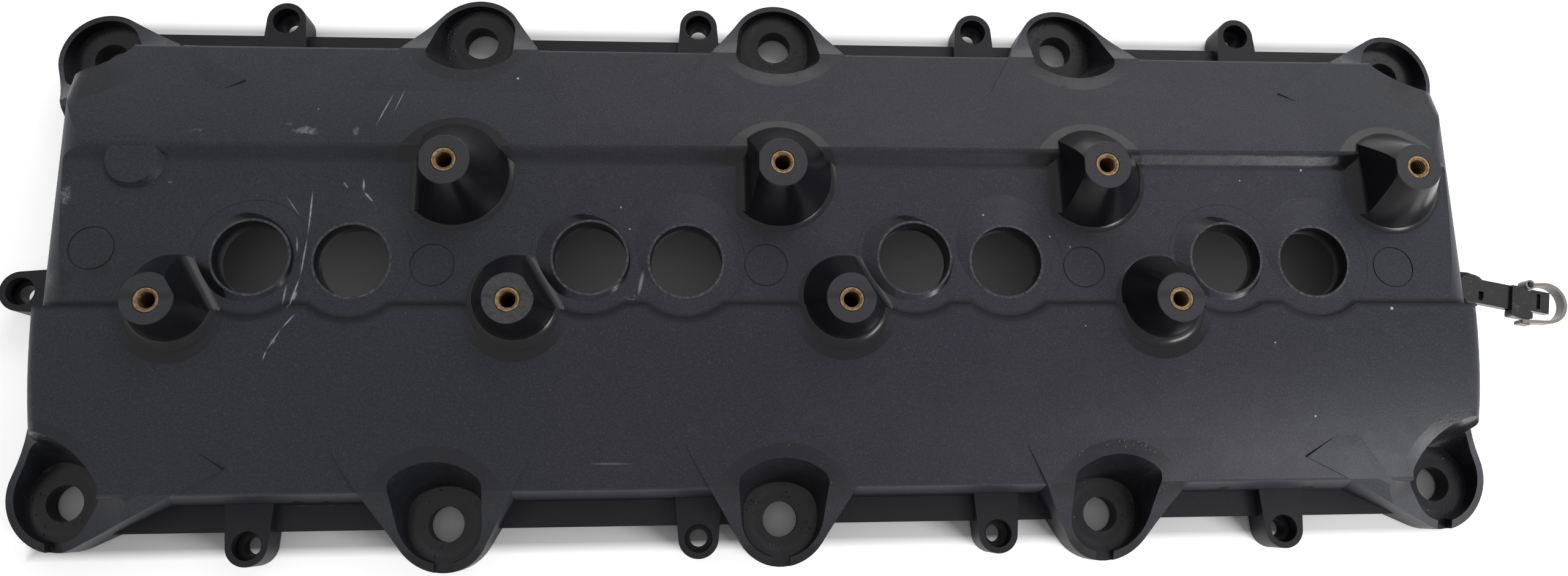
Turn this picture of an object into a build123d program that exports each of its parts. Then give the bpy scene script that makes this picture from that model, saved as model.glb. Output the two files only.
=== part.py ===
from build123d import *
import math
import os

os.makedirs("parts", exist_ok=True)

# Engine valve cover. Millimetres, +Z up. Origin: middle of the bolt pattern on the sealing plane.

# ---- driving sizes ----
bore_pitch = 113.3
row_middle = 6.15
bank = [row_middle + (i - 1.5) * bore_pitch for i in range(4)]

flange_thick = 8.0
flange_half_width = 92.5
flange_left = -262.0
flange_right = 264.5

body_left = -251.0
body_right = 254.0
foot_y = 83.4
lip_y = 80.3
lip_z = 28.0
lip_round = 2.5
end_round = 6.0
wall = 3.0

valley_z = 39.0
valley_y = 33.6
valley_slope = 0.06
valley_low_y = -18.0
step_low_z = 43.1
step_start_y = 32.4
step_high_y = 39.4
step_high_z = 42.0
crown_low_r = 140.0
crown_high_r = 196.0
end_drop_r = 13.0
end_drop_z = 42.0

bolt_r = 6.4
bolt_corner_x = 249.4
bolt_corner_y = 81.7
bolt_mid_y = 90.9
bolt_mid_top = [-113.3, 0.0, 113.3]
bolt_mid_low = [-118.9, 0.0, 118.9]
corner_turn_top = 29.0
corner_turn_low = 35.5
tower_high_r = 16.0
tower_low_r = 16.8
tower_flare = 30.0
tower_end_flare = 3.0
tower_deep = 38.0
corner_deep = 44.0
roof_back = [(-38.9, 37.3), (-25.0, 34.7), (-11.2, 29.5)]
roof_front = [(-2.7, 21.8), (7.0, 14.6)]
corner_back = [(-46.0, 36.6), (-32.0, 33.1), (-17.0, 27.6)]
corner_front = [(-9.0, 21.6), (0.0, 16.8), (8.0, 13.8)]
roof_high_z = 10.6
roof_low_z = 9.0
notch_w = 6.4
pocket_floor_r = 13.3
pocket_floor_arc = 18.0
pocket_floor_corner = 9.0
pocket_top_r = 16.8
pocket_top_corner = 3.0
pocket_top_z = 40.0
pocket_in_mid = 22.9
pocket_in_high = 13.8
pocket_in_low = 23.2
pocket_arc_mid = 27.0
pocket_arc_high = 50.0
pocket_arc_low = 33.0

ear_x = [-185.7, -29.6, 79.1, 187.0]
ear_y = 97.1
ear_r = 7.2
ear_root = 8.4
ear_z = 12.0
ear_hole_r = 5.0
ear_pin_r = 3.2
ear_pin_deep = 6.0
end_ear_x = 270.5
end_ear_y = -7.3

plug_gap = 33.1
plug_r = 12.5
plug_left_y = -1.4
plug_right_y = -2.4
plug_left_z = 42.8
plug_right_z = 41.8
collar_left_r = 15.5
collar_left_dx = -1.8
collar_left_dy = -0.8
collar_right_r = 14.6
rim_left_w = 0.9
rim_right_w = 0.8
scallop_r = 20.3
socket_r = 18.0
socket_z = 29.5
seal_r = 15.4
seal_in_r = 12.3
seal_z = 31.0
seal_top_z = 36.0

boss_top_z = 59.0
boss_top_r = 8.3
boss_high_r = 19.4
boss_low_r = 16.0
boss_low_lean = 3.0
boss_fillet = 4.5
high_ring_r = 21.6
high_ring_y = 29.0
low_ring_r = 17.4
low_ring_y = -16.1
crest_ring_r = 16.7
crest_ring_y = -16.9
crest_slope = 0.052
flat_fillet = 5.0
boss_high_dx = 49.4
boss_high_y = 28.4
boss_high_turn = 180.0
boss_low_dx = -41.5
boss_low_y = -19.0
boss_low_turn = 31.0
flat_in = 8.0
flat_draft = 10.5
insert_r = 4.2
insert_len = 12.0
thread_r = 2.6
insert_play = 0.04

pad_x = -222.6
pad_y = 33.2
pad_r = 8.6
pad_root = 10.5
pad_z = 41.8

gate_r = 7.4
gates = [(-232.8, 1.9), (-120.4, -3.9), (-6.2, -3.8), (107.4, -4.4), (222.7, -4.3)]

groove_w = 3.6
groove_deep = 5.0
groove_y = 81.0
groove_left = -251.5
groove_right = 253.6
groove_chamfer = 15.5
gasket_w = 3.4
gasket_proud = 1.0

clip_gap = 0.3
clip_turn = -11.0
clip_tip = 31.7
clip_neck = 24.4
hinge_u = 22.5
hinge_v = 5.6
hinge_pin_r = 0.9
knuckle_r = 1.9
loop_u = 29.7
loop_v = -0.5
loop_r = 7.4
loop_end_u = 20.0
loop_end_v = -9.4
strap_t = 1.2
strap_z0 = 12.6
strap_z1 = 17.0


def arc_mid(a, b, r):
    """Middle point of the arc of radius r that bulges upward from a to b."""
    dx = b[0] - a[0]
    dy = b[1] - a[1]
    chord = math.hypot(dx, dy)
    rise = r - math.sqrt(r * r - chord * chord / 4)
    nx = -dy / chord
    ny = dx / chord
    if ny < 0:
        nx = -nx
        ny = -ny
    return ((a[0] + b[0]) / 2 + nx * rise, (a[1] + b[1]) / 2 + ny * rise)


def hull(inset, left, right, round_r):
    """Domed body shell, or the space inside it when inset is the wall thickness."""
    lip = lip_y - inset
    top_lip = lip_z - inset * 0.85
    a = (-lip, top_lip)
    b = (valley_low_y, step_low_z - inset)
    c = (step_high_y, step_high_z - inset)
    d = (lip, top_lip)
    foot = foot_y - inset - (1.6 if inset else 0.0)
    with BuildPart() as p:
        with BuildSketch(Plane.YZ.offset(left)):
            with BuildLine():
                Polyline(a, (-foot, flange_thick), (-foot, -1), (foot, -1), (foot, flange_thick), d)
                mid_high = arc_mid(c, d, crown_high_r)
                mid_low = arc_mid(a, b, crown_low_r)
                crest = ((b[0] + c[0]) / 2, (b[1] + c[1]) / 2 + 0.9)
                Spline(d, mid_high, c, crest, b, mid_low, a)
            make_face()
        extrude(amount=right - left)
    s = p.part
    ends = [e for e in s.edges() if (abs(e.center().X - left) < 0.01 or abs(e.center().X - right) < 0.01)
            and e.center().Z > top_lip]
    s = fillet(ends, round_r)
    lips = [e for e in s.edges() if abs(abs(e.center().Y) - lip) < 1.5
            and abs(e.center().Z - top_lip) < 1.5 and e.length > 300]
    return fillet(lips, lip_round if not inset else 1.0)


def box(x0, x1, y0, y1, z0, z1):
    return Pos((x0 + x1) / 2, (y0 + y1) / 2, (z0 + z1) / 2) * Box(x1 - x0, y1 - y0, z1 - z0)


def cyl(x, y, r, z0, z1):
    return Pos(x, y, (z0 + z1) / 2) * Cylinder(r, z1 - z0)


def floor_z(y):
    """Height of the tilted valley floor."""
    return valley_z + valley_slope * (valley_y - y)


def towers():
    """The ten bolt towers: x, y, outward direction from +Y, kind, and the flare of each flank."""
    out = []
    wide = tower_flare
    slim = tower_end_flare
    for x in bolt_mid_top:
        out.append((x, bolt_mid_y, 0.0, "high", wide, wide))
    for x in bolt_mid_low:
        out.append((x, -bolt_mid_y, 180.0, "low", wide, wide))
    for side in (-1, 1):
        a = wide if side > 0 else slim
        b = slim if side > 0 else wide
        out.append((side * bolt_corner_x, bolt_corner_y, -side * corner_turn_top, "high_corner", a, b))
        out.append((side * bolt_corner_x, -bolt_corner_y, 180.0 + side * corner_turn_low, "low_corner", b, a))
    return out


def tower_roof(back, front, tip_z):
    """Space under the sloping tower top, bolt at the origin, outward along +Y."""
    tip = (tower_low_r + 0.4, tip_z)
    with BuildPart() as q:
        with BuildSketch(Plane.YZ.offset(-70)):
            with BuildLine():
                ThreePointArc(*back)
                Spline(back[2], *front, tip)
                Polyline(tip, (tip[0] + 8, tip_z - 4), (tip[0] + 8, -1), (-70, -1), (-70, back[0][1]), back[0])
            make_face()
        extrude(amount=140)
    return q.part


def tower_solid(nose, flare_minus, flare_plus, deep):
    """One tower about its bolt, outward along +Y, with straight flanks behind the round nose."""
    tm = math.radians(flare_minus)
    tp = math.radians(flare_plus)
    pm = (-nose * math.cos(tm), nose * math.sin(tm))
    pp = (nose * math.cos(tp), nose * math.sin(tp))
    qm = (pm[0] - math.tan(tm) * (deep + pm[1]), -deep)
    qp = (pp[0] + math.tan(tp) * (deep + pp[1]), -deep)
    with BuildPart() as p:
        with BuildSketch(Plane.XY):
            with BuildLine():
                ThreePointArc(pp, (0, nose), pm)
                Polyline(pm, qm, qp, pp)
            make_face()
        extrude(amount=50)
    return p.part


def tower_block(tower):
    """A tower in its place; the corner ones slope down both outward and towards the long side."""
    x, y, turn, kind, flare_minus, flare_plus = tower
    high = kind.startswith("high")
    nose = tower_high_r if high else tower_low_r
    tip_z = roof_high_z if high else roof_low_z
    roof = tower_roof(roof_back, roof_front, tip_z)
    if not kind.endswith("corner"):
        return place(tower_solid(nose, flare_minus, flare_plus, tower_deep) & roof, tower)
    block = tower_solid(nose, flare_minus, flare_plus, corner_deep)
    block = place(block & tower_roof(corner_back, corner_front, tip_z + 1.5), tower)
    row = 1 if high else -1
    return block & (Pos(x, row * bolt_mid_y, 0) * Rot(0, 0, 90 - row * 90) * roof)


def pocket_face(half, depth, z, corner, arc_r):
    rise = arc_r - math.sqrt(arc_r ** 2 - half * half)
    with BuildSketch(Plane.XY.offset(z)) as s:
        with BuildLine():
            ThreePointArc((half, 0), (0, half), (-half, 0))
            Line((-half, 0), (-half, rise - depth))
            ThreePointArc((-half, rise - depth), (0, -depth), (half, rise - depth))
            Line((half, rise - depth), (half, 0))
        make_face()
        fillet([v for v in s.vertices() if v.Y < -1], corner)
    return s.sketch


def pocket_solid(kind, extra):
    """Cavity over the bolt seat; with extra it is the wall block round that cavity."""
    deep = {"high": pocket_in_mid, "low": pocket_in_mid, "high_corner": pocket_in_high, "low_corner": pocket_in_low}
    arcs = {"high": pocket_arc_mid, "low": pocket_arc_mid, "high_corner": pocket_arc_high, "low_corner": pocket_arc_low}
    r = pocket_floor_r + extra
    low = (r, r, pocket_floor_corner + extra, pocket_floor_arc + extra)
    lo = pocket_face(low[0], low[1], flange_thick, low[2], low[3])
    hi = pocket_face(pocket_top_r + extra, deep[kind] + extra, pocket_top_z, pocket_top_corner + extra, arcs[kind] + extra)
    s = loft([lo, hi])
    if extra:
        s = s + extrude(pocket_face(low[0], low[1], -2, low[2], low[3]), flange_thick + 2)
    return s


def place(shape, tower):
    return Pos(tower[0], tower[1], 0) * Rot(0, 0, tower[2]) * shape


def ear(x, y, turn):
    """Ear on the flange edge, outward along +Y before turning, its hole axis on the given point."""
    back = 15.0
    with BuildPart() as p:
        with BuildSketch(Plane.XY):
            with BuildLine():
                ThreePointArc((ear_r, 0), (0, ear_r), (-ear_r, 0))
                Polyline((-ear_r, 0), (-ear_root, -back), (ear_root, -back), (ear_r, 0))
            make_face()
        extrude(amount=ear_z)
    return Pos(x, y, 0) * Rot(0, 0, turn) * p.part


def ears():
    out = []
    for x in ear_x:
        out.append((x, ear_y, 0.0))
        out.append((x, -ear_y, 180.0))
    out.append((-end_ear_x, end_ear_y, 90.0))
    out.append((end_ear_x, end_ear_y, -90.0))
    return out


def bosses():
    out = []
    for c in bank:
        out.append((c + boss_high_dx, boss_high_y))
        out.append((c + boss_low_dx, boss_low_y))
    return out


def foot_ring(r, y, z, slope):
    """Concave ring that blends a boss into ground of the given slope along Y."""
    f = boss_fillet
    c = math.sqrt(0.75) * f
    sink = 0.08
    tip = (r - c, f / 2 - sink)
    with BuildPart() as p:
        with BuildSketch(Plane.XZ):
            with BuildLine():
                ThreePointArc((r, -sink), (r - f / 2, f - c - sink), tip)
                Polyline(tip, (r - 8, tip[1]), (r - 8, -3), (r, -3), (r, -sink))
            make_face()
        revolve(axis=Axis.Z)
    return Pos(0, y, z) * Rot(math.degrees(math.atan(slope)), 0, 0) * p.part


def boss_solid(y, turn, root_r, lean):
    """Cone at x = 0 with one drafted flat facing the given direction; lean moves its root along Y."""
    drop = boss_top_z - valley_z
    under = 5.0
    over = 3.0
    grow = (root_r - boss_top_r) / drop
    tall = drop + under + over
    cone = Cone(boss_top_r + grow * (drop + under), boss_top_r - grow * over, tall)
    tilt = math.degrees(math.atan(lean / drop))
    body = Pos(0, y, boss_top_z) * Rot(tilt, 0, 0) * Pos(0, 0, over - tall / 2) * cone
    body = body - box(-40, 40, -60, 60, boss_top_z, boss_top_z + 10)
    if lean:
        ring = foot_ring(low_ring_r, low_ring_y, floor_z(low_ring_y), -valley_slope)
        body = body + (ring & box(-40, 40, valley_low_y, 60, 20, 70))
        ring = foot_ring(crest_ring_r, crest_ring_y, step_low_z + crest_slope * (crest_ring_y - valley_low_y), crest_slope)
        body = body + (ring & box(-40, 40, -60, valley_low_y, 20, 70))
    else:
        body = body + foot_ring(high_ring_r, high_ring_y, floor_z(high_ring_y), -valley_slope)
    d = math.tan(math.radians(flat_draft))
    z0 = valley_z - under - 1
    z1 = boss_top_z + 1
    base = flat_in + d * (boss_top_z - floor_z(y))
    f = flat_fillet
    with BuildPart() as q:
        with BuildSketch(Plane.XZ.offset(-40)):
            with BuildLine():
                Polyline((flat_in - d, z1), (flat_in + d * (boss_top_z - z0), z0), (60, z0), (60, z1), (flat_in - d, z1))
            make_face()
        extrude(amount=80)
    with BuildPart() as w:
        with BuildSketch(Plane.XZ.offset(-25)):
            with BuildLine():
                ThreePointArc((base + f * 0.8, -0.05), (base + f * 0.26, f * 0.22), (base - d * f * 1.02 - 0.1, f * 1.02))
                Polyline((base - d * f * 1.02 - 0.1, f * 1.02), (base - 4, f), (base - 4, -3), (base + f * 0.8, -3),
                         (base + f * 0.8, -0.05))
            make_face()
        extrude(amount=50)
    spin = Rot(0, 0, turn)
    tilted = Rot(math.degrees(math.atan(-valley_slope)), 0, 0)
    web = (Pos(0, y, floor_z(y)) * tilted * spin * w.part) & body
    return (body - (Pos(0, y, 0) * spin * q.part)) + web


def cross_bar(points, x0, x1):
    """Straight bar of the given YZ outline from x0 to x1."""
    with BuildPart() as p:
        with BuildSketch(Plane.YZ.offset(x0)):
            with BuildLine():
                Polyline(*points, close=True)
            make_face()
        extrude(amount=x1 - x0)
    return p.part


def collar(x, y, z, root_r, dx, dy, top_r):
    base_z = floor_z(y) + 0.4
    k = 3.0 / (z - base_z)
    with BuildPart() as p:
        with BuildSketch(Plane.XY.offset(base_z - 3.0)):
            with Locations((dx * (1 + k), dy * (1 + k))):
                Circle(root_r + (root_r - top_r) * k)
        with BuildSketch(Plane.XY.offset(z)):
            Circle(top_r)
        loft(ruled=True)
    return Pos(x, y, 0) * p.part


def plugs():
    out = []
    for c in bank:
        out.append((c - plug_gap / 2, plug_left_y, True))
        out.append((c + plug_gap / 2, plug_right_y, False))
    return out


def above_floor(lift, y0, y1):
    """Space above the tilted valley floor."""
    pts = [(y0, floor_z(y0) + lift), (y1, floor_z(y1) + lift), (y1, 70), (y0, 70)]
    return cross_bar(pts, body_left - 20, body_right + 20)


def valley_cut():
    """Space above the valley floor, up to the crest of the upper step."""
    s = above_floor(0.0, valley_low_y, step_high_y)
    high = above_floor(0.0, -60, 60)
    for x, y, _ in plugs():
        s = s + (cyl(x, y, scallop_r, valley_z - 1, 70) & high)
    return s


def upper_step():
    """Curved rise from the valley floor to the crest of the upper step."""
    a = (step_start_y, floor_z(step_start_y))
    d = (step_high_y, step_high_z)
    with BuildPart() as p:
        with BuildSketch(Plane.YZ.offset(body_left)):
            with BuildLine():
                Spline(a, (34.6, 39.45), (35.8, 40.5), (37.2, 41.6), d, tangents=[(1, -valley_slope), (1, -0.02)])
                Polyline(d, (step_high_y, valley_z - 2.8), (step_start_y, valley_z - 2.8), a)
            make_face()
        extrude(amount=body_right - body_left)
    return p.part


def end_drop(x, side):
    """Cutter that rounds the end edge over the valley and the upper shoulder."""
    r = end_drop_r
    cx = x - side * r
    cz = end_drop_z - r
    with BuildPart() as p:
        with BuildSketch(Plane.XZ.offset(-valley_low_y)):
            with BuildLine():
                k = math.sqrt(0.5)
                ThreePointArc((x, cz), (cx + side * r * k, cz + r * k), (cx, cz + r))
                Polyline((cx, cz + r), (cx, 60), (x + side * 30, 60), (x + side * 30, cz), (x, cz))
            make_face()
        extrude(amount=-(75 - valley_low_y))
    return p.part


def flange_plate():
    with BuildPart() as p:
        with BuildSketch(Plane.XY):
            with BuildLine():
                k = 11.0
                Polyline((flange_left, -flange_half_width + k), (flange_left, flange_half_width - k),
                         (flange_left + k, flange_half_width), (flange_right - k, flange_half_width),
                         (flange_right, flange_half_width - k), (flange_right, -flange_half_width + k),
                         (flange_right - k, -flange_half_width), (flange_left + k, -flange_half_width),
                         (flange_left, -flange_half_width + k))
            make_face()
        extrude(amount=flange_thick)
    return p.part


def groove_path(offset):
    """Closed loop of the seal groove, moved outward by offset."""
    k = groove_chamfer
    o = offset
    h = o * math.tan(math.radians(22.5))
    x0 = groove_left - o
    x1 = groove_right + o
    y = groove_y + o
    return [(x0, -y + k + o - h), (x0, y - k - o + h), (x0 + k + o - h, y), (x1 - k - o + h, y),
            (x1, y - k - o + h), (x1, -y + k + o - h), (x1 - k - o + h, -y), (x0 + k + o - h, -y)]


def groove_band(width, z0, z1):
    outer = make_face(Polyline(*groove_path(width / 2), close=True))
    inner = make_face(Polyline(*groove_path(-width / 2), close=True))
    outer = fillet(outer.vertices(), 4.0 + width / 2)
    inner = fillet(inner.vertices(), 4.0 - width / 2)
    return Pos(0, 0, z0) * extrude(outer - inner, z1 - z0)


def cover():
    dome = hull(0.0, body_left, body_right, end_round)
    body = dome - box(-400, 400, -200, 200, -5, 0)
    body = body + flange_plate()
    for t in towers():
        body = body + tower_block(t)
    body = body - valley_cut()
    under = valley_z - 2.8
    outline = [(-50, under), (-50, floor_z(-50)), (70, floor_z(70)), (70, under)]
    valley = box(body_left, body_right, valley_low_y, step_high_y, under, 70)
    deck = cross_bar(outline, body_left, body_right) & valley
    body = body + deck

    air = above_floor(0.0, -60, valley_low_y)
    for x, y, _ in plugs():
        body = body - (cyl(x, y, scallop_r, valley_z - 1, 70) & air)
    body = body + upper_step()
    high = boss_solid(boss_high_y, boss_high_turn, boss_high_r, 0.0)
    low = boss_solid(boss_low_y, boss_low_turn, boss_low_r, boss_low_lean)
    for c in bank:
        body = body + Pos(c + boss_high_dx, 0, 0) * high
        body = body + Pos(c + boss_low_dx, 0, 0) * low
    body = body - end_drop(body_left, -1) - end_drop(body_right, 1)

    for x, y, turn in ears():
        body = body + ear(x, y, turn)
    with BuildPart() as pad:
        with BuildSketch(Plane.XY.offset(valley_z - 1.5)):
            Circle(pad_root + 0.9)
        with BuildSketch(Plane.XY.offset(pad_z)):
            Circle(pad_r)
        loft(ruled=True)
    body = body + Pos(pad_x, pad_y, 0) * pad.part
    for x, y, tall in plugs():
        if tall:
            top_r = plug_r + rim_left_w
            body = body + collar(x, y, plug_left_z, collar_left_r, collar_left_dx, collar_left_dy, top_r)
        else:
            body = body + collar(x, y, plug_right_z, collar_right_r, 0.0, 0.0, plug_r + rim_right_w)

    inner = hull(wall, body_left + wall + 1.0, body_right - wall - 1.0, end_round - wall)
    inner = inner - above_floor(-wall, valley_low_y - wall, step_high_y + 0.5)
    for side, x in ((-1, body_left), (1, body_right)):
        inner = inner - (Pos(-side * wall, 0, -wall) * end_drop(x, side))
    for t in towers():
        inner = inner - place(pocket_solid(t[3], wall), t)
    for x, y, tall in plugs():
        inner = inner - cyl(x, y, socket_r, socket_z, 60)
    for x, y in bosses():
        inner = inner - cyl(x, y, insert_r + 2.6, boss_top_z - insert_len - 16, 60)
    body = body - inner

    for t in towers():
        body = body - place(pocket_solid(t[3], 0.0), t)
        body = body - cyl(t[0], t[1], bolt_r, -1, flange_thick + 1)
        if t[3].startswith("low"):
            body = body - box(t[0] - notch_w / 2, t[0] + notch_w / 2, t[1] - 25, t[1] - 10, flange_thick, 30)
    for x, y, turn in ears():
        body = body - cyl(x, y, ear_hole_r, ear_pin_deep, ear_z + 1)
        body = body - cyl(x, y, ear_pin_r, -1, ear_pin_deep + 1)
    for x, y, tall in plugs():
        body = body - cyl(x, y, plug_r, 0, 60)
        body = body - cyl(x, y, seal_r + 0.1, 0, seal_top_z)
    for x, y in bosses():
        body = body - cyl(x, y, insert_r + insert_play, boss_top_z - insert_len, boss_top_z + 1)
        body = body - cyl(x, y, thread_r + 0.5, boss_top_z - insert_len - 8, boss_top_z + 1)
    shallow = above_floor(-0.3, -60, 60)
    for x, y in gates:
        ring = cyl(x, y, gate_r + 0.25, valley_z - 1, 60) - cyl(x, y, gate_r - 0.25, valley_z - 2, 61)
        body = body - (ring & shallow)
    body = body - groove_band(groove_w, -1, groove_deep)
    return body


def gasket():
    s = groove_band(gasket_w, 0.6, groove_deep)
    s = s + groove_band(gasket_w - 1.4, -gasket_proud, 0.7)
    return s


def tube_seal():
    with BuildPart() as p:
        with BuildSketch(Plane.XZ):
            with BuildLine():
                Polyline((seal_r, seal_top_z), (seal_r, seal_z), (seal_r - 1.2, seal_z), (seal_in_r + 0.6, seal_z + 1.6),
                         (seal_in_r, seal_z + 2.4), (seal_in_r + 0.5, seal_z + 3.4), (seal_in_r + 0.9, seal_top_z),
                         (seal_r, seal_top_z))
            make_face()
        revolve(axis=Axis.Z)
    return p.part


def coil_insert():
    z1 = boss_top_z
    z0 = boss_top_z - insert_len
    with BuildPart() as p:
        with BuildSketch(Plane.XZ):
            with BuildLine():
                Polyline((thread_r, z0), (insert_r, z0), (insert_r, z1 - 0.25), (insert_r - 0.25, z1),
                         (thread_r + 0.75, z1), (thread_r, z1 - 0.75), (thread_r, z0))
            make_face()
        revolve(axis=Axis.Z)
    return p.part


def clip_frame(shape):
    """Turns the clip from its own axes, +X along the arm, to its place on the right-hand ear."""
    return Pos(end_ear_x, end_ear_y, 0) * Rot(0, 0, clip_turn) * shape


def clip_body():
    """Stud in the right-hand ear, arm, tongue, catch block and hinge pin."""
    z0 = ear_z
    s = cyl(0, 0, 5.6, z0, z0 + 3.8)
    s = s + cyl(0, 0, ear_pin_r - clip_gap, 1.0, z0)
    s = s + cyl(0, 0, ear_hole_r - clip_gap, ear_pin_deep + clip_gap, z0)
    arm = box(0, clip_tip, -5.2, 4.3, z0 + clip_gap, z0 + 3.2)
    arm = arm - box(clip_neck, 60, -9, -4.2, 0, 30)
    s = s + arm
    s = s + box(15.8, 22.4, -5.2, 4.3, z0 + clip_gap, z0 + 4.4)
    catch = box(15.8, 24.4, -7.9, -5.0, z0 + clip_gap, z0 + 4.4)
    catch = fillet(catch.edges().filter_by(Axis.Z), 0.8)
    s = s + catch
    s = s - box(26.5, 28.0, -3.0, 3.0, z0 + 2.2, 30)
    s = s - box(2.6, 4.6, -4.0, -0.6, z0 + 2.2, 30)
    s = s - cyl(hinge_u, hinge_v, knuckle_r + 0.4, z0 + 0.6, 30)
    s = s + cyl(hinge_u, hinge_v, knuckle_r, z0 + clip_gap, z0 + 0.6)
    s = s + cyl(hinge_u, hinge_v, hinge_pin_r, z0 + clip_gap, strap_z1 + 0.4)
    s = s + box(hinge_u - 2.0, hinge_u + 0.6, 2.5, hinge_v, z0 + clip_gap, z0 + 0.6)
    return clip_frame(s)


def clip_strap():
    """Loop of the clip, hinged on its pin, free end resting beside the catch block."""
    dx = hinge_u - loop_u
    dy = hinge_v - loop_v
    far = math.hypot(dx, dy)
    a0 = math.atan2(dy, dx) - math.acos(loop_r / far)
    ex = loop_end_u - loop_u
    ey = loop_end_v - loop_v
    far2 = math.hypot(ex, ey)
    a1 = math.atan2(ey, ex) + math.acos(loop_r / far2)
    p0 = (loop_u + loop_r * math.cos(a0), loop_v + loop_r * math.sin(a0))
    p1 = (loop_u + loop_r * math.cos(a1), loop_v + loop_r * math.sin(a1))
    am = (a0 + a1) / 2
    pm = (loop_u + loop_r * math.cos(am), loop_v + loop_r * math.sin(am))
    with BuildPart() as p:
        with BuildSketch(Plane.XY.offset(strap_z0)):
            with BuildLine() as path:
                Line((hinge_u, hinge_v), p0)
                ThreePointArc(p0, pm, p1)
                Line(p1, (loop_end_u, loop_end_v))
            trace(path.line, strap_t)
            with Locations((hinge_u, hinge_v)):
                Circle(knuckle_r)
                Circle(hinge_pin_r + clip_gap, mode=Mode.SUBTRACT)
        extrude(amount=strap_z1 - strap_z0)
    s = p.part + box(loop_end_u - 0.4, loop_end_u + 3.6, loop_end_v - 0.9, loop_end_v + 0.3, strap_z0, strap_z1 - 1.0)
    return clip_frame(s)


def node(shape, name):
    shape.label = name
    export_step(shape, "parts/" + name + ".step")
    print(name, round(shape.volume), len(shape.solids()), shape.is_valid)


node(cover(), "cover")
node(gasket(), "perimeter_gasket")
for i, (x, y, tall) in enumerate(plugs()):
    node(Pos(x, y, 0) * tube_seal(), "tube_seal_" + str(i + 1))
for i, (x, y) in enumerate(bosses()):
    node(Pos(x, y, 0) * coil_insert(), "coil_insert_" + str(i + 1))
node(clip_body(), "harness_clip")
node(clip_strap(), "clip_strap")
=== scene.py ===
import math
from functools import cached_property, reduce

import bpy
from mathutils import Matrix, Vector


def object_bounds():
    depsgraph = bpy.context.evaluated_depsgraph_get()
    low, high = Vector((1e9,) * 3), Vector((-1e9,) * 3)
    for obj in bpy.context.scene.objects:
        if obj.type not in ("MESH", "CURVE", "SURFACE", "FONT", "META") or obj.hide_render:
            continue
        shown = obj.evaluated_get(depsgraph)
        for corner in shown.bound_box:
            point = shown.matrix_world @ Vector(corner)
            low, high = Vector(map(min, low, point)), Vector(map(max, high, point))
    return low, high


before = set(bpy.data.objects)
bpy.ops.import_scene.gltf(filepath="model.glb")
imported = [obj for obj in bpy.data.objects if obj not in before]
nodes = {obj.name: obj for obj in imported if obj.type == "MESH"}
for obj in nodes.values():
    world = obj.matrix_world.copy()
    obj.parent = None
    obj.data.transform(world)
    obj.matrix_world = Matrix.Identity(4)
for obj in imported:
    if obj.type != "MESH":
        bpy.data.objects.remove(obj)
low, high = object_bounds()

scene = bpy.context.scene

# ---------------------------------------------------------------- places on the cover, in mm
BORE_PITCH = 113.3
BANKS_MIDDLE_X = 6.15
BANK_X = [BANKS_MIDDLE_X + (bank - 1.5) * BORE_PITCH for bank in range(4)]
PLUGS_FROM_BANK = ((-16.55, -1.4), (16.55, -2.4))
PLUG_HOLES = [(x + across, y) for x in BANK_X for across, y in PLUGS_FROM_BANK]
UPPER_BOSSES = [(x + 49.4, 28.4) for x in BANK_X]
LOWER_BOSSES = [(x - 41.5, -19.0) for x in BANK_X]
RUBBED_BOSS = LOWER_BOSSES[1]
CLEAN_INSERT = LOWER_BOSSES[3]
CORNER_BOLT = (249.4, 81.7)
MIDDLE_BOLT = (0.0, 90.9)
SIDE_BOLT = (116.1, 90.9)
ROW_SHIFT = 2.8
UPPER_FOOT_R = 21.6
LOWER_FOOT_R = 18.6
BOSS_TOP_R = 9.4
COLLAR_FOOT_R = 16.6
COLLAR_MIDDLE_R = 13.0
PARTING_R = 20.5
SCALLOP_R = 20.8
POCKET_MOUTH_R = 26.5
POCKET_WALL_R = 16.4
POCKET_SEAT_R = 15.6
WASHER_MIDDLE_R = 10.6
VALLEY_EDGE_Y = -18.0
STEP_FROM_Y = 31.6
STEP_TO_Y = 40.4

# Heights on the cover, in mm.
BOSS_TOP_Z = 59.0
COLLAR_TOP_Z = 41.7
PANEL_FROM_Z = 37.0
FLANGE_TOP_Z = 12.5
SEAT_TOP_Z = 8.6

# ---------------------------------------------------------------- colours
BLACK = (0.0, 0.0, 0.0)
WHITE = (1.0, 1.0, 1.0)

# Charcoal nylon: the cool and the warm mix of one batch.
COOL_DARK = (0.0143, 0.0184, 0.0246)
COOL_LIGHT = (0.0194, 0.0240, 0.0311)
WARM_DARK = (0.0156, 0.0139, 0.0236)
WARM_LIGHT = (0.0210, 0.0187, 0.0300)
FLECK_DARK = (0.0060, 0.0060, 0.0080)
FLECK_LIGHT = (0.0720, 0.0720, 0.0800)

# What has darkened it: oil and polish, and painted shade on the flange, the valley's lower edge, the
# upper step and in the pockets.
FLANGE_PAINTED_SHADE = (0.0040, 0.0040, 0.0060)
VALLEY_EDGE_PAINTED_SHADE = (0.0045, 0.0040, 0.0060)
POLISHED_NYLON = (0.0045, 0.0045, 0.0060)
POCKET_OIL_AND_SHADE = (0.0090, 0.0090, 0.0115)
OIL_SMEAR = (0.010, 0.010, 0.012)
STEP_PAINTED_SHADE = (0.010, 0.010, 0.013)
JOINT_SHADOW = (0.005, 0.004, 0.007)

# What has made it paler, and a painted highlight on the collar rims.
DUST = (0.165, 0.160, 0.150)
BOSS_TOP_WEAR = (0.062, 0.058, 0.058)
WASHER_WEAR = (0.060, 0.057, 0.060)
COLLAR_RIM_PAINTED_HIGHLIGHT = (0.135, 0.130, 0.138)
CONE_RUB = (0.105, 0.107, 0.110)
CHALKY_SCUFF = (0.235, 0.245, 0.250)
CUT_NYLON = (0.400, 0.430, 0.440)
LOOSE_SPECK = (0.620, 0.600, 0.560)

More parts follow.
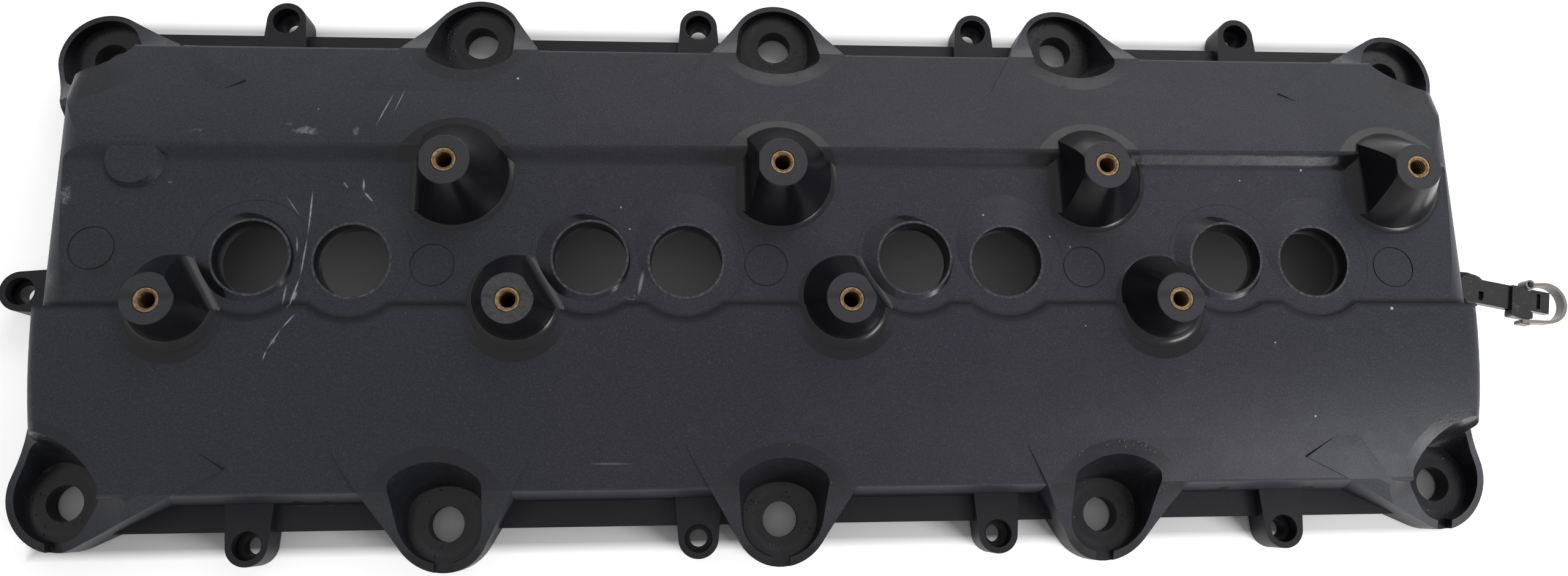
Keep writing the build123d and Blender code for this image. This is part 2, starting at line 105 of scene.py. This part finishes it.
# Brass, rubber and the clip.
BROWN_BRASS = (0.25, 0.185, 0.100)
YELLOW_BRASS = (0.36, 0.24, 0.105)
TARNISH = (0.13, 0.085, 0.045)
RUBBED_BRASS = (0.50, 0.41, 0.26)
BRASS_EDGE_DIRT = (0.060, 0.045, 0.035)
THREAD_OIL = (0.120, 0.060, 0.032)
GASKET_RUBBER = (0.030, 0.030, 0.033)
SEAL_RUBBER = (0.038, 0.036, 0.036)
RUBBER_BLOOM = (0.12, 0.115, 0.10)
RUBBER_OIL = (0.012, 0.011, 0.010)
CLIP_TONES = ((0.0040, 0.0040, 0.0045), (0.0090, 0.0090, 0.0100), (0.10, 0.10, 0.10))
STRAP_TONES = ((0.15, 0.135, 0.125), (0.26, 0.235, 0.215), (0.46, 0.43, 0.40))

# Bare nylon has 0.5; this keeps the body dark against the white backdrop.
COVER_SPECULAR = 0.26

# ---------------------------------------------------------------- units and floor
MM_PER_M = 1000.0
# In metres.
FLOOR_SIZE = 6.0
FLOOR_GAP = 0.0005
FLOOR_TONE = (0.96, 0.96, 0.96)
FLOOR_GLOW = 0.55
# The part that shows the shadow, in mm.
SHADOW_HALF_X = 262.0
SHADOW_HALF_Y = 98.0
SHADOW_FADE = 4.0

# Knife and tool scratches: points along each line, half width, strength.
SCRATCHES = [
    ([(-137.6, 59.7), (-142.1, 46.1)], 0.36, 0.9),
    ([(-133.8, 62.0), (-136.8, 50.9)], 0.28, 0.6),
    ([(-145.5, 27.3), (-145.2, 22.5), (-141.5, 18.5)], 0.50, 1.0),
    ([(-152.4, 26.1), (-150.4, 23.4)], 0.42, 0.6),
    ([(-171.1, 20.8), (-165.8, 13.4)], 0.34, 0.55),
    ([(-162.3, 23.3), (-162.5, 6.0), (-163.9, -8.0), (-167.0, -19.5)], 0.42, 1.0),
    ([(-164.7, -12.9), (-165.9, -16.4)], 1.0, 0.75),
    ([(-168.1, -10.4), (-168.9, -18.0)], 0.46, 0.7),
    ([(-166.2, 6.6), (-165.6, 0.2)], 0.40, 0.7),
    ([(-164.0, -20.7), (-168.4, -25.8), (-173.0, -33.0), (-174.2, -36.3)], 0.38, 0.8),
    ([(-170.3, -29.0), (-171.6, -31.0)], 1.0, 0.45),
    ([(-48.6, -5.5), (-50.4, -15.0)], 0.85, 0.5),
    ([(-80.8, -20.8), (-80.5, -24.4)], 0.50, 0.7),
    ([(-67.2, -71.2), (-51.7, -71.4)], 0.40, 0.3),
]

# Rubbed, chalky patches: middle, half sizes along x and y, strength.
SCUFFS = [
    ((-165.5, 43.9), (7.6, 3.0), 0.92),
    ((-171.6, 46.4), (2.2, 1.1), 0.80),
    ((-148.6, 43.8), (2.2, 3.2), 0.85),
    ((-203.0, 43.4), (6.0, 1.9), 0.62),
    ((-214.0, 74.0), (2.6, 0.8), 0.40),
    ((-209.8, 25.4), (1.6, 0.9), 0.75),
    ((-180.7, 20.8), (1.2, 0.5), 0.70),
    ((-243.8, 20.5), (3.8, 6.2), 0.75),
    ((-189.6, -59.2), (6.5, 2.2), 0.22),
    ((-169.8, -55.7), (1.5, 2.0), 0.35),
    ((86.5, -63.4), (7.5, 2.6), 0.30),
    ((-52.6, -15.4), (4.4, 2.3), 0.55),
]

# Loose pale specks: place and radius.
SPECKS = [
    ((-162.6, 52.6), 0.35), ((-94.7, 66.5), 0.75), ((-56.8, 17.2), 0.50), ((-53.6, 9.2), 0.50),
    ((72.0, 14.7), 0.60), ((95.9, 6.9), 0.50), ((103.0, 3.1), 0.45), ((106.2, -25.8), 0.40),
    ((175.0, -31.9), 0.50), ((189.7, -57.7), 0.60), ((169.1, 28.6), 0.45), ((193.1, 32.8), 0.70),
    ((219.3, -19.8), 0.95),
]

# Oily finger smears and drips that darken the nylon: middle and half sizes.
OIL_MARKS = [
    ((-242.0, -8.4), (7.5, 4.6)), ((-229.5, -5.6), (6.5, 3.2)), ((-241.4, -13.9), (4.0, 3.0)),
    ((-168.6, -83.0), (3.6, 1.4)), ((-159.1, -83.1), (2.2, 1.4)), ((145.0, -82.2), (5.0, 0.9)),
    ((163.1, -82.3), (3.2, 0.9)), ((196.0, -82.5), (4.0, 0.9)), ((24.6, -82.4), (2.8, 2.4)),
]


# ---------------------------------------------------------------- finishes
class Value:
    """A socket in a shader, so that its numbers can be written as ordinary arithmetic."""

    def __init__(self, finish, socket):
        self.finish = finish
        self.socket = socket

    def math(self, operation, *terms):
        return self.finish.add("ShaderNodeMath", {"operation": operation}, dict(enumerate(terms)))

    def __add__(self, other):
        return self.math("ADD", self, other)

    def __radd__(self, other):
        return self.math("ADD", other, self)

    def __sub__(self, other):
        return self.math("SUBTRACT", self, other)

    def __rsub__(self, other):
        return self.math("SUBTRACT", other, self)

    def __mul__(self, other):
        return self.math("MULTIPLY", self, other)

    def __rmul__(self, other):
        return self.math("MULTIPLY", other, self)

    def __truediv__(self, other):
        return self.math("DIVIDE", self, other)

    def __neg__(self):
        return self.math("MULTIPLY", self, -1.0)

    def __abs__(self):
        return self.math("ABSOLUTE", self)

    def least(self, other):
        return self.math("MINIMUM", self, other)

    def most(self, other):
        return self.math("MAXIMUM", self, other)

    def fade(self, start, end):
        """0 at start and 1 at end, smoothly; start may be the larger."""
        return self.map_range("SMOOTHSTEP", start, end, 0.0, 1.0)

    def ramp(self, start, end, low=0.0, high=1.0):
        """From low at start to high at end in a straight line, and level beyond."""
        return self.map_range("LINEAR", start, end, low, high)

    def inside(self, edge, softness):
        """1 well below the edge and 0 above it."""
        return self.fade(edge, edge - softness)

    def towards(self, target, amount):
        """This value at an amount of 0 and the target at 1."""
        return self + (target - self) * amount

    def map_range(self, interpolation, start, end, low, high):
        sockets = {
            "Value": self, "From Min": start, "From Max": end, "To Min": low, "To Max": high,
        }
        settings = {"interpolation_type": interpolation}
        return self.finish.add("ShaderNodeMapRange", settings, sockets)


class Finish:
    """The nodes of one material or world, worked in millimetres in the object's own frame."""

    def __init__(self, owner):
        owner.use_nodes = True
        self.owner = owner
        self.tree = owner.node_tree
        self.tree.nodes.clear()

    @cached_property
    def place(self):
        return self.vector("SCALE", self.texture_place("Object"), Scale=MM_PER_M)

    @cached_property
    def flat_place(self):
        return self.vector("MULTIPLY", self.place, (1.0, 1.0, 0.0))

    @cached_property
    def facing(self):
        return self.texture_place("Normal")

    def add(self, kind, settings=None, sockets=None, out=0):
        """One node: its settings first, then the values or links of its sockets.

        Gives back the output named or numbered by out, and nothing if out is None.
        """
        node = self.tree.nodes.new(kind)
        for name, setting in (settings or {}).items():
            setattr(node, name, setting)
        for key, value in (sockets or {}).items():
            if isinstance(value, Value):
                self.tree.links.new(value.socket, node.inputs[key])
            else:
                node.inputs[key].default_value = value
        return None if out is None else Value(self, node.outputs[out])

    def texture_place(self, which):
        return self.add("ShaderNodeTexCoord", out=which)

    def vector(self, operation, first, second=None, out="Vector", **sockets):
        """Arithmetic on one or two vectors, for places, directions and distances."""
        sockets[0] = first
        if second is not None:
            sockets[1] = second
        return self.add("ShaderNodeVectorMath", {"operation": operation}, sockets, out)

    def part(self, vector, letter):
        """One part of a vector: X, Y or Z."""
        return self.add("ShaderNodeSeparateXYZ", sockets={"Vector": vector}, out=letter)

    def noise(self, size, detail=2.0, roughness=0.5, stretch=(1.0, 1.0, 1.0)):
        """Cloudy variation whose features are about size mm across."""
        where = self.vector("MULTIPLY", self.place, stretch)
        sockets = {"Vector": where, "Scale": 1.0 / size, "Detail": detail, "Roughness": roughness}
        return self.add("ShaderNodeTexNoise", sockets=sockets)

    def cells(self, size):
        """How far a point lies from the nearest of many scattered spots."""
        sockets = {"Vector": self.place, "Scale": 1.0 / size}
        return self.add("ShaderNodeTexVoronoi", {"feature": "F1"}, sockets, "Distance")

    def blend(self, amount, first, second):
        """From the first colour at 0 to the second at 1."""
        settings = {"data_type": "RGBA", "clamp_factor": True}
        sockets = {0: amount, 6: self.colour(first), 7: self.colour(second)}
        return self.add("ShaderNodeMix", settings, sockets, 2)

    def colour(self, colour):
        return colour if isinstance(colour, Value) else (*colour, 1.0)

    def distance(self, middle):
        """How far, in mm, a point lies from an upright axis."""
        return self.vector("DISTANCE", self.flat_place, (*middle, 0.0), "Value")

    def nearest(self, middles):
        """How far, in mm, a point lies from the closest of several upright axes."""
        return reduce(Value.least, map(self.distance, middles))

    def patch(self, middle, half_sizes, turn=0.0):
        """1 in the middle of an oval and 0 from its edge outwards."""
        settings = {"vector_type": "TEXTURE"}
        sockets = {
            "Vector": self.flat_place,
            "Location": (*middle, 0.0),
            "Rotation": (0.0, 0.0, turn),
            "Scale": (*half_sizes, 1.0),
        }
        local = self.add("ShaderNodeMapping", settings, sockets)
        return self.vector("LENGTH", local, out="Value").fade(1.0, 0.25)

    def bump(self, height, strength, depth_mm, under=None):
        """Relief of a height from 0 to 1, over any relief that lies under it."""
        sockets = {"Height": height, "Strength": strength, "Distance": depth_mm / MM_PER_M}
        if under is not None:
            sockets["Normal"] = under
        return self.add("ShaderNodeBump", sockets=sockets)

    def light_paths(self, kind):
        return self.add("ShaderNodeLightPath", out=kind)

    def shown(self):
        """1 for the rays that show the backdrop itself: seen, mirrored or through glass."""
        kinds = ("Is Camera Ray", "Is Glossy Ray", "Is Transmission Ray")
        return reduce(Value.most, map(self.light_paths, kinds))

    def shader(self, **sockets):
        """A Principled shader; names are its sockets with _ for a space."""
        named = {name.replace("_", " "): value for name, value in sockets.items()}
        for name in ("Base Color", "Emission Color"):
            if name in named:
                named[name] = self.colour(named[name])
        return self.add("ShaderNodeBsdfPrincipled", sockets=named)

    def show(self, shader, output="ShaderNodeOutputMaterial"):
        """Makes the shader the finish of the material or world, and gives that back."""
        self.add(output, sockets={"Surface": shader}, out=None)
        return self.owner


def new_finish(name):
    """The empty finish of a new material."""
    return Finish(bpy.data.materials.new(name))


def line_marks(lines):
    """Each run of a scratch as a long thin oval: middle, half sizes, strength and turn."""
    half_and_overlap = 0.56
    marks = []
    for points, half_width, strength in lines:
        for start, end in zip(points, points[1:]):
            run = Vector(end) - Vector(start)
            middle = (Vector(start) + Vector(end)) / 2.0
            sizes = (run.length * half_and_overlap, half_width)
            marks.append((tuple(middle), sizes, strength, math.atan2(run.y, run.x)))
    return marks


def marks_mask(finish, marks):
    """The strongest of many oval marks at each place."""
    return reduce(Value.most, (
        finish.patch(middle, half_sizes, turn) * strength
        for middle, half_sizes, strength, turn in marks
    ))


def specks_mask(finish, specks):
    """1 on each of many small round specks."""
    return reduce(Value.most, (
        finish.distance(middle).fade(radius * 0.8, radius * 0.3) for middle, radius in specks
    ))


def pockets_mask(finish, z):
    """1 on the walls and seats of the ten bolt pockets, and 2 more where the washers turned.

    The pockets lie alike in the four quarters of the cover, so one quarter serves all.
    """
    side = finish.vector("SIGN", finish.place)
    quarter_place = finish.vector("ABSOLUTE", finish.flat_place)
    quarter_facing = finish.vector("MULTIPLY", finish.facing, side)
    row_shift = finish.part(side, "Y") * ROW_SHIFT
    shift = finish.add("ShaderNodeCombineXYZ", sockets={"X": row_shift})
    shifted_place = finish.vector("ADD", quarter_place, shift)
    on_seat = z.inside(SEAT_TOP_Z + 0.8, 0.8)
    above_tower = z.fade(FLANGE_TOP_Z - 0.3, FLANGE_TOP_Z + 0.1)
    pockets = []
    for bolt, place in (
        (CORNER_BOLT, quarter_place), (MIDDLE_BOLT, quarter_place), (SIDE_BOLT, shifted_place),
    ):
        gap = finish.vector("DISTANCE", place, (*bolt, 0.0), "Value")
        inwards = finish.vector("SUBTRACT", (*bolt, 0.0), place)
        turned = finish.vector("DOT_PRODUCT", inwards, quarter_facing, "Value") / gap
        high_or_near = above_tower.most(gap.inside(POCKET_WALL_R, 0.6))
        wall = turned.fade(0.12, 0.3) * gap.inside(POCKET_MOUTH_R, 0.7) * high_or_near
        seat = gap.inside(POCKET_SEAT_R, 0.4) * on_seat
        washer = abs(gap - WASHER_MIDDLE_R).fade(1.6, 0.3) * on_seat
        pockets.append(wall.most(seat) + 2.0 * washer)
    return reduce(Value.most, pockets) * z.fade(7.0, 7.5)


def cover_nylon():
    """Charcoal glass-filled nylon: satin grain, polished cones, oily pockets and years of handling,
    with painted shade on the flange, the upper step, the valley's lower edge and in the pockets, and a
    painted highlight on the collar rims.
    """
    finish = new_finish("cover_nylon")
    x = finish.part(finish.place, "X")
    y = finish.part(finish.place, "Y")
    z = finish.part(finish.place, "Z")
    facing_y = finish.part(finish.facing, "Y")
    facing_z = finish.part(finish.facing, "Z")
    upward = facing_z.fade(0.3, 0.8) * z.fade(FLANGE_TOP_Z - 1.5, FLANGE_TOP_Z + 0.5)
    raised = z.fade(PANEL_FROM_Z, PANEL_FROM_Z + 1.0)
    on_top = z.fade(BOSS_TOP_Z - 0.6, BOSS_TOP_Z - 0.3)
    below_top = z.inside(BOSS_TOP_Z - 0.2, 0.3)

    # Cloudy variation at four sizes serves every mark and stain below.
    clouds = finish.noise(46.0, 3.0, 0.6)
    mottle = finish.noise(7.0, 3.0, 0.65)
    ragged = finish.noise(1.5, 3.0, 0.75)
    flecks = finish.noise(0.62, 1.0, 0.8)

    # The moulding's own colour: finely flecked, cool to the left and warm in the middle.
    cool = finish.blend(clouds, COOL_DARK, COOL_LIGHT)
    warm = finish.blend(clouds, WARM_DARK, WARM_LIGHT)
    middling = x.fade(-190.0, 10.0) * (1.0 - 0.6 * x.fade(120.0, 230.0))
    colour = finish.blend(middling * 0.75 + 0.25 * mottle, cool, warm)
    colour = finish.blend(flecks.fade(0.50, 0.28) * 0.65, colour, FLECK_DARK)
    colour = finish.blend(flecks.fade(0.54, 0.78) * 0.42, colour, FLECK_LIGHT)

    # Grey dust lies where the surface faces up.
    dust = (clouds + 0.5 * mottle).fade(0.72, 0.98) * upward
    colour = finish.blend(dust * 0.02, colour, DUST)

    # The upper step is smoother than the panels on each side of it; where it faces away from the
    # lamps, its colour is darkened with painted shade.
    between_edges = (y - STEP_FROM_Y).fade(0.0, 2.0) * (STEP_TO_Y - y).fade(0.0, 2.0)
    step = between_edges * (-facing_y).fade(0.06, 0.3) * raised * facing_z.fade(0.2, 0.5)
    colour = finish.blend(step * 0.35, colour, STEP_PAINTED_SHADE)
    roughness = 0.47 + 0.05 * mottle + 0.05 * dust - 0.10 * step

    # Painted shade darkens the flange under the shoulder, and a band of painted shade lies along the
    # valley's scalloped lower edge.
    flange = z.inside(FLANGE_TOP_Z + 1.5, 1.5) * z.fade(-1.0, 0.5)
    colour = finish.blend(flange * 0.85, colour, FLANGE_PAINTED_SHADE)
    plug = finish.nearest(PLUG_HOLES)
    past_edge = (VALLEY_EDGE_Y - y).least(plug - SCALLOP_R)
    valley_edge_shade = abs(past_edge + 0.3).fade(2.6, 0.2) * y.fade(-9.0, -12.0) * raised
    colour = finish.blend(valley_edge_shade * 0.8, colour, VALLEY_EDGE_PAINTED_SHADE)
    roughness = roughness + 0.22 * valley_edge_shade

    # Polished cones and collars are nearly black.
    upper_boss = finish.nearest(UPPER_BOSSES)
    lower_boss = finish.nearest(LOWER_BOSSES)
    foot = upper_boss.inside(UPPER_FOOT_R, 0.5).most(lower_boss.inside(LOWER_FOOT_R, 0.5))
    boss_top = upper_boss.least(lower_boss).inside(BOSS_TOP_R, 0.8) * on_top
    collar = plug.inside(COLLAR_FOOT_R, 0.4) * facing_z.inside(0.95, 0.15)
    polished = (foot * facing_z.fade(0.9995, 0.992) * below_top).most(collar) * raised
    colour = finish.blend(polished * 0.93, colour, POLISHED_NYLON)
    colour = finish.blend(boss_top * 0.30, colour, BOSS_TOP_WEAR)
    roughness = roughness.towards(0.20 + 0.10 * mottle, polished)

    # Old engine oil in the bolt pockets, wiped off where the bolt heads turned; the pockets' darker
    # colour is also painted shade in these recesses.
    pocket_and_ring = pockets_mask(finish, z)
    pocket = pocket_and_ring.least(1.0)
    ring = (pocket_and_ring - 1.0).most(0.0) * 0.5
    colour = finish.blend(pocket * (0.55 + 0.3 * mottle), colour, POCKET_OIL_AND_SHADE)
    colour = finish.blend(ring * mottle * 0.3, colour, WASHER_WEAR)
    roughness = roughness.towards(0.12 + 0.26 * mottle, pocket * 0.9)

    # Oily smears and drips.
    oil = marks_mask(finish, [(*mark, 1.0, 0.0) for mark in OIL_MARKS])
    oil = (oil * 1.5 + mottle - 0.9).fade(0.0, 0.6)
    colour = finish.blend(oil * 0.6, colour, OIL_SMEAR)
    roughness = roughness.towards(0.24, oil * 0.8)

    # Moulding joint lines run round the plug holes, and a painted highlight runs round the tops of
    # their collars.
    joint_line = abs(plug - PARTING_R).fade(0.34, 0.05) * raised
    joint_line = joint_line * clouds.fade(0.42, 0.52) * facing_z.fade(0.98, 0.995)
    colour = finish.blend(joint_line * 0.75, colour, JOINT_SHADOW)
    collar_top = z.fade(COLLAR_TOP_Z - 0.5, COLLAR_TOP_Z)
    rim = abs(plug - COLLAR_MIDDLE_R).fade(0.55, 0.15) * collar_top * ragged.fade(0.35, 0.65)
    colour = finish.blend(rim * 0.55, colour, COLLAR_RIM_PAINTED_HIGHLIGHT)

    # Handling: rubbed patches, scratches and specks.
    scuff = marks_mask(finish, [(*mark, 0.0) for mark in SCUFFS])
    scuff = (1.15 * scuff + 1.9 * ragged - 1.52).fade(0.0, 0.7) * scuff.fade(0.0, 0.2) * upward
    colour = finish.blend(scuff * 0.6, colour, CHALKY_SCUFF)
    broken = 0.55 + 0.45 * ragged.fade(0.34, 0.56)
    scratch = marks_mask(finish, line_marks(SCRATCHES)) * broken * upward
    colour = finish.blend(scratch * 0.88, colour, CUT_NYLON)
    speck = specks_mask(finish, SPECKS) * upward
    colour = finish.blend(speck * 0.7, colour, LOOSE_SPECK)

    # One lower cone's top is rubbed paler than the rest.
    rub = finish.distance(RUBBED_BOSS).fade(9.2, 8.2) * on_top * ragged.fade(0.3, 0.62)
    colour = finish.blend(rub * 0.40, colour, CONE_RUB)
    roughness = roughness.towards(0.65, scratch.most(scuff).most(rub))

    relief = cover_relief(finish, mottle, polished, pocket)
    return finish.show(finish.shader(
        Base_Color=colour, Roughness=roughness, Normal=relief, Specular_IOR_Level=COVER_SPECULAR,
    ))


def cover_relief(finish, mottle, polished, pocket):
    """Slight waviness, moulded grain that polishing has worn down, and droplets of oil."""
    smoothness = polished.most(0.5 * pocket)
    grain_strength = 0.45 * (1.0 - 0.85 * smoothness)
    droplets = finish.cells(1.9).fade(0.34, 0.22)
    droplet_strength = 0.6 * mottle.fade(0.52, 0.62) * pocket
    relief = finish.bump(finish.noise(14.0, 1.0), 0.25, 0.6)
    relief = finish.bump(finish.noise(0.75, 2.0, 0.65), grain_strength, 0.10, relief)
    return finish.bump(droplets, droplet_strength, 0.25, relief)


def rubber(name, middle_tone):
    """Dull moulded rubber with a bloom of dust and an oily sheen in patches."""
    finish = new_finish(name)
    dark = [0.6 * part for part in middle_tone]
    light = [1.6 * part for part in middle_tone]
    clouds = finish.noise(8.0, 4.0, 0.65)
    bloom = finish.noise(3.0, 5.0, 0.7).fade(0.5, 0.75)
    oily = finish.noise(14.0, 3.0).fade(0.48, 0.62)
    colour = finish.blend(clouds, dark, light)
    colour = finish.blend(bloom * 0.3, colour, RUBBER_BLOOM)
    colour = finish.blend(oily * 0.5, colour, RUBBER_OIL)
    roughness = 0.72 - 0.38 * oily + 0.1 * bloom
    relief = finish.bump(finish.noise(0.5, 3.0, 0.7), 0.4, 0.08)
    relief = finish.bump(clouds, 0.3, 0.3, relief)
    return finish.show(finish.shader(Base_Color=colour, Roughness=roughness, Normal=relief))


def aged_brass():
    """Threaded brass: a rubbed ring round the mouth, brown with oil down the thread."""
    finish = new_finish("aged_brass")
    gap = finish.nearest(UPPER_BOSSES + LOWER_BOSSES)
    tarnish = finish.noise(1.3, 4.0, 0.7)
    scoring = finish.noise(0.4, 3.0, 0.6, (1.0, 1.0, 0.2))
    batch = finish.noise(60.0, 0.0)
    bright = finish.blend(batch.fade(0.35, 0.65), BROWN_BRASS, YELLOW_BRASS)
    colour = finish.blend(tarnish.fade(0.32, 0.66), bright, TARNISH)
    colour = finish.blend(scoring.fade(0.5, 0.7) * 0.4, colour, RUBBED_BRASS)
    colour = finish.blend(gap.fade(3.8, 4.15) * 0.85, colour, BRASS_EDGE_DIRT)
    throat = gap.fade(3.55, 3.15)
    clean = finish.distance(CLEAN_INSERT).fade(5.0, 4.6)
    stain = throat * (0.55 + 0.45 * tarnish.fade(0.38, 0.6)) * (1.0 - 0.8 * clean)
    colour = finish.blend(stain, colour, THREAD_OIL)
    roughness = 0.34 + 0.25 * tarnish
    metal = 1.0 - 0.6 * stain
    turn_sockets = {"Vector": finish.place, "Scale": 0.32}
    turn = finish.add("ShaderNodeTexWave", {"bands_direction": "Z"}, turn_sockets)
    relief = finish.bump(turn, 0.8 * throat, 0.35)
    relief = finish.bump(scoring, 0.35, 0.05, relief)
    return finish.show(finish.shader(
        Base_Color=colour, Metallic=metal, Roughness=roughness, Normal=relief,
    ))


def clip_plastic(name, tones, base_roughness):
    """Satin moulded nylon of the wiring clip, rubbed pale in places."""
    dark, light, worn = tones
    finish = new_finish(name)
    clouds = finish.noise(5.0, 4.0, 0.6)
    flecks = finish.noise(0.45, 2.0, 0.75)
    rubs = finish.noise(1.4, 4.0, 0.7, (0.5, 1.0, 1.0)).fade(0.58, 0.72)
    colour = finish.blend(clouds, dark, light)
    colour = finish.blend(flecks.fade(0.55, 0.8) * 0.3, colour, worn)
    colour = finish.blend(rubs * 0.4, colour, worn)
    roughness = base_roughness + 0.22 * (clouds - 0.5) + 0.15 * rubs
    relief = finish.bump(finish.noise(0.6, 3.0, 0.65), 0.35, 0.06)
    relief = finish.bump(clouds, 0.25, 0.3, relief)
    return finish.show(finish.shader(Base_Color=colour, Roughness=roughness, Normal=relief))


def dress(names, material):
    """Gives every slot of the named nodes the finish."""
    for name in names:
        node = nodes[name]
        if not node.material_slots:
            node.data.materials.append(material)
        for slot in node.material_slots:
            slot.material = material


eight = range(1, 9)
dress(["cover"], cover_nylon())
dress(["perimeter_gasket"], rubber("gasket_rubber", GASKET_RUBBER))
dress(["tube_seal_%d" % number for number in eight], rubber("seal_rubber", SEAL_RUBBER))
dress(["coil_insert_%d" % number for number in eight], aged_brass())
dress(["harness_clip"], clip_plastic("clip_nylon", CLIP_TONES, 0.24))
dress(["clip_strap"], clip_plastic("strap_nylon", STRAP_TONES, 0.40))


# ---------------------------------------------------------------- camera
camera_data = bpy.data.cameras.new("camera")
camera_data.sensor_width = 36.0
camera_data.lens = 26.298
camera_data.shift_x = 0.0003
camera_data.shift_y = -0.0093
camera_data.clip_start = 0.01
camera_data.clip_end = 50.0
camera = bpy.data.objects.new("camera", camera_data)
scene.collection.objects.link(camera)
camera.matrix_world = Matrix((
    (0.997065597, -0.000423214, -0.076550744, -0.030689),
    (-0.014946439, 0.979663115, -0.200091939, -0.086766),
    (0.075078622, 0.20064895, 0.976782063, 0.431944),
    (0, 0, 0, 1)))
scene.camera = camera


# ---------------------------------------------------------------- stage and light
def studio_world():
    """Soft light, stronger from the back wall, seen as plain white past the floor."""
    finish = Finish(bpy.data.worlds.new("studio"))
    back_wall = finish.part(finish.texture_place("Generated"), "Y")
    strength = back_wall.ramp(start=-0.9, end=0.9, low=0.16, high=0.60)
    light = finish.blend(strength.most(finish.shown()), BLACK, WHITE)
    sockets = {"Color": light, "Strength": 1.0}
    background = finish.add("ShaderNodeBackground", sockets=sockets)
    return finish.show(background, "ShaderNodeOutputWorld")


def floor_white():
    """Matt white, plain white clear of the object's shadow, and see-through from below."""
    finish = new_finish("pale_floor")
    beyond = finish.vector("ABSOLUTE", finish.place)
    past_ends = finish.part(beyond, "X").ramp(SHADOW_HALF_X, SHADOW_HALF_X + SHADOW_FADE)
    past_sides = finish.part(beyond, "Y").ramp(SHADOW_HALF_Y, SHADOW_HALF_Y + SHADOW_FADE)
    glow = FLOOR_GLOW * finish.shown() * past_ends.most(past_sides)
    white = finish.shader(
        Base_Color=FLOOR_TONE, Roughness=0.9,
        Emission_Color=finish.blend(glow, BLACK, WHITE), Emission_Strength=1.0,
    )
    clear = finish.add("ShaderNodeBsdfTransparent")
    from_below = finish.add("ShaderNodeNewGeometry", out="Backfacing")
    sides = {0: from_below, 1: white, 2: clear}
    return finish.show(finish.add("ShaderNodeMixShader", sockets=sides))


def pale_floor():
    """A broad floor just under the sealing face."""
    height = low[2] - FLOOR_GAP
    bpy.ops.mesh.primitive_plane_add(size=FLOOR_SIZE, location=(0.0, 0.0, height))
    floor = bpy.context.object
    floor.name = "floor"
    floor.data.materials.append(floor_white())


def softbox(name, place, aim, size, energy):
    """A rectangular lamp at a place, turned towards a point on the object; metres and watts."""
    lamp = bpy.data.lights.new(name, "AREA")
    lamp.shape = "RECTANGLE"
    lamp.size = size[0]
    lamp.size_y = size[1]
    lamp.energy = energy
    stand = bpy.data.objects.new(name, lamp)
    stand.location = place
    stand.rotation_euler = (Vector(aim) - Vector(place)).to_track_quat("-Z", "Y").to_euler()
    scene.collection.objects.link(stand)


scene.world = studio_world()
scene.view_settings.view_transform = "Standard"
pale_floor()
softbox(
    "overhead", place=(0.60, 1.15, 1.10), aim=(0.1, 0.0, 0.0), size=(1.6, 0.8), energy=12.0,
)
softbox(
    "side_window", place=(0.62, -0.44, 0.38), aim=(0.24, -0.05, 0.0), size=(0.30, 0.22), energy=3.6,
)
